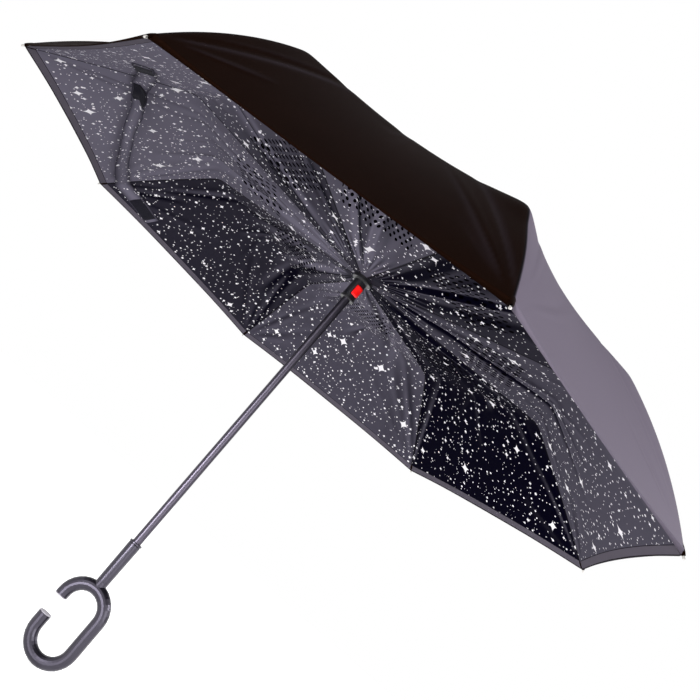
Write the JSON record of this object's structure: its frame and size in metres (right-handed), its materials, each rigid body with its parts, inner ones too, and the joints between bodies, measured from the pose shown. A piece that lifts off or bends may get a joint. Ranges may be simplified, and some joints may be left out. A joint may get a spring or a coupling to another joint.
{
  "type": "inverted umbrella",
  "caption": "Umbrella with a two-layer canopy that folds upward on ribs and struts, a sliding runner with a release button, and an open C-shaped handle.",
  "frame": {"origin": "centre of the C grip, on the shaft axis", "axes": "+Z along the shaft, from the grip to the canopy; the C lies in the XZ plane with its mouth to -X"},
  "size_m": [0.9906, 0.9906, 0.7635],
  "materials": {
    "shaft_metal": "dark grey satin tube",
    "steel": "plain bright steel",
    "rib_metal": "black painted folded steel",
    "rod_fibre": "black glass-fibre rod with a bright cap",
    "grip_plastic": "dark violet-grey satin moulding",
    "cap_plastic": "light grey end cap",
    "black_plastic": "black satin moulding",
    "red_plastic": "bright red satin",
    "outer_cloth": "plain black woven cloth",
    "inner_cloth": "dark cloth printed with white dots and sparkles",
    "pad_cloth": "black hook-and-loop tape"
  },
  "bodies": {
    "shaft_and_grip": {"shaft_tube": "shaft_metal", "shaft_catch": "steel", "handle_sleeve": "grip_plastic", "sleeve_ring": "black_plastic", "c_grip": "grip_plastic", "grip_cap_upper": "cap_plastic", "grip_cap_lower": "cap_plastic", "crown": "black_plastic", "crown_wire": "steel", "top_cap": "black_plastic"},
    "runner": {"runner_body": "black_plastic", "runner_collar": "black_plastic", "runner_wire": "steel", "button_spring": "steel"},
    "button": {"release_button": "red_plastic"},
    "rib_1_arm": {"rib_1": "rib_metal", "inner_gore_1": "inner_cloth", "outer_gore_1": "outer_cloth"},
    "rod_1_arm": {"rod_1": "rod_fibre"},
    "strut_1_arm": {"strut_1": "rib_metal"},
    "rib_2_arm": {"rib_2": "rib_metal", "inner_gore_2": "inner_cloth", "outer_gore_2": "outer_cloth"},
    "rod_2_arm": {"rod_2": "rod_fibre"},
    "strut_2_arm": {"strut_2": "rib_metal"},
    "rib_3_arm": {"rib_3": "rib_metal", "inner_gore_3": "inner_cloth", "outer_gore_3": "outer_cloth"},
    "rod_3_arm": {"rod_3": "rod_fibre"},
    "strut_3_arm": {"strut_3": "rib_metal"},
    "rib_4_arm": {"rib_4": "rib_metal", "inner_gore_4": "inner_cloth", "outer_gore_4": "outer_cloth"},
    "rod_4_arm": {"rod_4": "rod_fibre", "closure_strap": "inner_cloth", "loop_pad": "pad_cloth"},
    "strut_4_arm": {"strut_4": "rib_metal"},
    "rib_5_arm": {"rib_5": "rib_metal", "inner_gore_5": "inner_cloth", "outer_gore_5": "outer_cloth"},
    "rod_5_arm": {"rod_5": "rod_fibre", "hook_pad": "pad_cloth"},
    "strut_5_arm": {"strut_5": "rib_metal"},
    "rib_6_arm": {"rib_6": "rib_metal", "inner_gore_6": "inner_cloth", "outer_gore_6": "outer_cloth"},
    "rod_6_arm": {"rod_6": "rod_fibre"},
    "strut_6_arm": {"strut_6": "rib_metal"},
    "rib_7_arm": {"rib_7": "rib_metal", "inner_gore_7": "inner_cloth", "outer_gore_7": "outer_cloth"},
    "rod_7_arm": {"rod_7": "rod_fibre"},
    "strut_7_arm": {"strut_7": "rib_metal"},
    "rib_8_arm": {"rib_8": "rib_metal", "inner_gore_8": "inner_cloth", "outer_gore_8": "outer_cloth"},
    "rod_8_arm": {"rod_8": "rod_fibre"},
    "strut_8_arm": {"strut_8": "rib_metal"}
  },
  "joints": [
    {"name": "runner_slide", "type": "slide", "parent": "shaft_and_grip", "child": "runner", "axis": [0, 0, -1], "range_m": [0, 0.3991]},
    {"name": "button_press", "type": "slide", "parent": "runner", "child": "button", "axis": [-0.6157, 0.788, 0], "range_m": [0, 0.0013], "stiffness_N_per_m": 600, "springref_m": -0.002, "deforming": ["button_spring"]},
    {"name": "rib_1_fold", "type": "hinge", "parent": "runner", "child": "rib_1_arm", "pos_m": [0.01201, 0.00498, 0.598], "axis": [0.3827, -0.9239, 0], "range_deg": [0, 76.8], "deforming": ["inner_gore_1", "outer_gore_1"]},
    {"name": "rib_1_knee", "type": "hinge", "parent": "rib_1_arm", "child": "rod_1_arm", "pos_m": [0.32521, 0.1347, 0.651], "axis": [0.3827, -0.9239, 0], "range_deg": [0, 48.6]},
    {"name": "strut_1_fold", "type": "hinge", "parent": "shaft_and_grip", "child": "strut_1_arm", "pos_m": [0.01109, 0.00459, 0.668], "axis": [0.3827, -0.9239, 0], "range_deg": [-83.9, 0]},
    {"name": "rib_2_fold", "type": "hinge", "parent": "runner", "child": "rib_2_arm", "pos_m": [0.00498, 0.01201, 0.598], "axis": [0.9239, -0.3827, 0], "range_deg": [0, 76.8], "deforming": ["inner_gore_2", "outer_gore_2"]},
    {"name": "rib_2_knee", "type": "hinge", "parent": "rib_2_arm", "child": "rod_2_arm", "pos_m": [0.1347, 0.32521, 0.651], "axis": [0.9239, -0.3827, 0], "range_deg": [0, 48.6]},
    {"name": "strut_2_fold", "type": "hinge", "parent": "shaft_and_grip", "child": "strut_2_arm", "pos_m": [0.00459, 0.01109, 0.668], "axis": [0.9239, -0.3827, 0], "range_deg": [-83.9, 0]},
    {"name": "rib_3_fold", "type": "hinge", "parent": "runner", "child": "rib_3_arm", "pos_m": [-0.00498, 0.01201, 0.598], "axis": [0.9239, 0.3827, 0], "range_deg": [0, 76.8], "deforming": ["inner_gore_3", "outer_gore_3"]},
    {"name": "rib_3_knee", "type": "hinge", "parent": "rib_3_arm", "child": "rod_3_arm", "pos_m": [-0.1347, 0.32521, 0.651], "axis": [0.9239, 0.3827, 0], "range_deg": [0, 48.6]},
    {"name": "strut_3_fold", "type": "hinge", "parent": "shaft_and_grip", "child": "strut_3_arm", "pos_m": [-0.00459, 0.01109, 0.668], "axis": [0.9239, 0.3827, 0], "range_deg": [-83.9, 0]},
    {"name": "rib_4_fold", "type": "hinge", "parent": "runner", "child": "rib_4_arm", "pos_m": [-0.01201, 0.00498, 0.598], "axis": [0.3827, 0.9239, 0], "range_deg": [0, 76.8], "deforming": ["inner_gore_4", "outer_gore_4"]},
    {"name": "rib_4_knee", "type": "hinge", "parent": "rib_4_arm", "child": "rod_4_arm", "pos_m": [-0.32521, 0.1347, 0.651], "axis": [0.3827, 0.9239, 0], "range_deg": [0, 48.6], "deforming": ["closure_strap", "loop_pad"]},
    {"name": "strut_4_fold", "type": "hinge", "parent": "shaft_and_grip", "child": "strut_4_arm", "pos_m": [-0.01109, 0.00459, 0.668], "axis": [0.3827, 0.9239, 0], "range_deg": [-83.9, 0]},
    {"name": "rib_5_fold", "type": "hinge", "parent": "runner", "child": "rib_5_arm", "pos_m": [-0.01201, -0.00498, 0.598], "axis": [-0.3827, 0.9239, 0], "range_deg": [0, 76.8], "deforming": ["inner_gore_5", "outer_gore_5"]},
    {"name": "rib_5_knee", "type": "hinge", "parent": "rib_5_arm", "child": "rod_5_arm", "pos_m": [-0.32521, -0.1347, 0.651], "axis": [-0.3827, 0.9239, 0], "range_deg": [0, 48.6], "deforming": ["hook_pad"]},
    {"name": "strut_5_fold", "type": "hinge", "parent": "shaft_and_grip", "child": "strut_5_arm", "pos_m": [-0.01109, -0.00459, 0.668], "axis": [-0.3827, 0.9239, 0], "range_deg": [-83.9, 0]},
    {"name": "rib_6_fold", "type": "hinge", "parent": "runner", "child": "rib_6_arm", "pos_m": [-0.00498, -0.01201, 0.598], "axis": [-0.9239, 0.3827, 0], "range_deg": [0, 76.8], "deforming": ["inner_gore_6", "outer_gore_6"]},
    {"name": "rib_6_knee", "type": "hinge", "parent": "rib_6_arm", "child": "rod_6_arm", "pos_m": [-0.1347, -0.32521, 0.651], "axis": [-0.9239, 0.3827, 0], "range_deg": [0, 48.6]},
    {"name": "strut_6_fold", "type": "hinge", "parent": "shaft_and_grip", "child": "strut_6_arm", "pos_m": [-0.00459, -0.01109, 0.668], "axis": [-0.9239, 0.3827, 0], "range_deg": [-83.9, 0]},
    {"name": "rib_7_fold", "type": "hinge", "parent": "runner", "child": "rib_7_arm", "pos_m": [0.00498, -0.01201, 0.598], "axis": [-0.9239, -0.3827, 0], "range_deg": [0, 76.8], "deforming": ["inner_gore_7", "outer_gore_7"]},
    {"name": "rib_7_knee", "type": "hinge", "parent": "rib_7_arm", "child": "rod_7_arm", "pos_m": [0.1347, -0.32521, 0.651], "axis": [-0.9239, -0.3827, 0], "range_deg": [0, 48.6]},
    {"name": "strut_7_fold", "type": "hinge", "parent": "shaft_and_grip", "child": "strut_7_arm", "pos_m": [0.00459, -0.01109, 0.668], "axis": [-0.9239, -0.3827, 0], "range_deg": [-83.9, 0]},
    {"name": "rib_8_fold", "type": "hinge", "parent": "runner", "child": "rib_8_arm", "pos_m": [0.01201, -0.00498, 0.598], "axis": [-0.3827, -0.9239, 0], "range_deg": [0, 76.8], "deforming": ["inner_gore_8", "outer_gore_8"]},
    {"name": "rib_8_knee", "type": "hinge", "parent": "rib_8_arm", "child": "rod_8_arm", "pos_m": [0.32521, -0.1347, 0.651], "axis": [-0.3827, -0.9239, 0], "range_deg": [0, 48.6]},
    {"name": "strut_8_fold", "type": "hinge", "parent": "shaft_and_grip", "child": "strut_8_arm", "pos_m": [0.01109, -0.00459, 0.668], "axis": [-0.3827, -0.9239, 0], "range_deg": [-83.9, 0]}
  ],
  "couplings": [
    {"joint": "rib_1_fold", "follows": "runner_slide", "rad_per_m": 3.358},
    {"joint": "rib_1_knee", "follows": "runner_slide", "rad_per_m": 2.1252},
    {"joint": "strut_1_fold", "follows": "runner_slide", "rad_per_m": -3.6652},
    {"joint": "rib_2_fold", "follows": "runner_slide", "rad_per_m": 3.358},
    {"joint": "rib_2_knee", "follows": "runner_slide", "rad_per_m": 2.1252},
    {"joint": "strut_2_fold", "follows": "runner_slide", "rad_per_m": -3.6652},
    {"joint": "rib_3_fold", "follows": "runner_slide", "rad_per_m": 3.358},
    {"joint": "rib_3_knee", "follows": "runner_slide", "rad_per_m": 2.1252},
    {"joint": "strut_3_fold", "follows": "runner_slide", "rad_per_m": -3.6652},
    {"joint": "rib_4_fold", "follows": "runner_slide", "rad_per_m": 3.358},
    {"joint": "rib_4_knee", "follows": "runner_slide", "rad_per_m": 2.1252},
    {"joint": "strut_4_fold", "follows": "runner_slide", "rad_per_m": -3.6652},
    {"joint": "rib_5_fold", "follows": "runner_slide", "rad_per_m": 3.358},
    {"joint": "rib_5_knee", "follows": "runner_slide", "rad_per_m": 2.1252},
    {"joint": "strut_5_fold", "follows": "runner_slide", "rad_per_m": -3.6652},
    {"joint": "rib_6_fold", "follows": "runner_slide", "rad_per_m": 3.358},
    {"joint": "rib_6_knee", "follows": "runner_slide", "rad_per_m": 2.1252},
    {"joint": "strut_6_fold", "follows": "runner_slide", "rad_per_m": -3.6652},
    {"joint": "rib_7_fold", "follows": "runner_slide", "rad_per_m": 3.358},
    {"joint": "rib_7_knee", "follows": "runner_slide", "rad_per_m": 2.1252},
    {"joint": "strut_7_fold", "follows": "runner_slide", "rad_per_m": -3.6652},
    {"joint": "rib_8_fold", "follows": "runner_slide", "rad_per_m": 3.358},
    {"joint": "rib_8_knee", "follows": "runner_slide", "rad_per_m": 2.1252},
    {"joint": "strut_8_fold", "follows": "runner_slide", "rad_per_m": -3.6652}
  ]
}
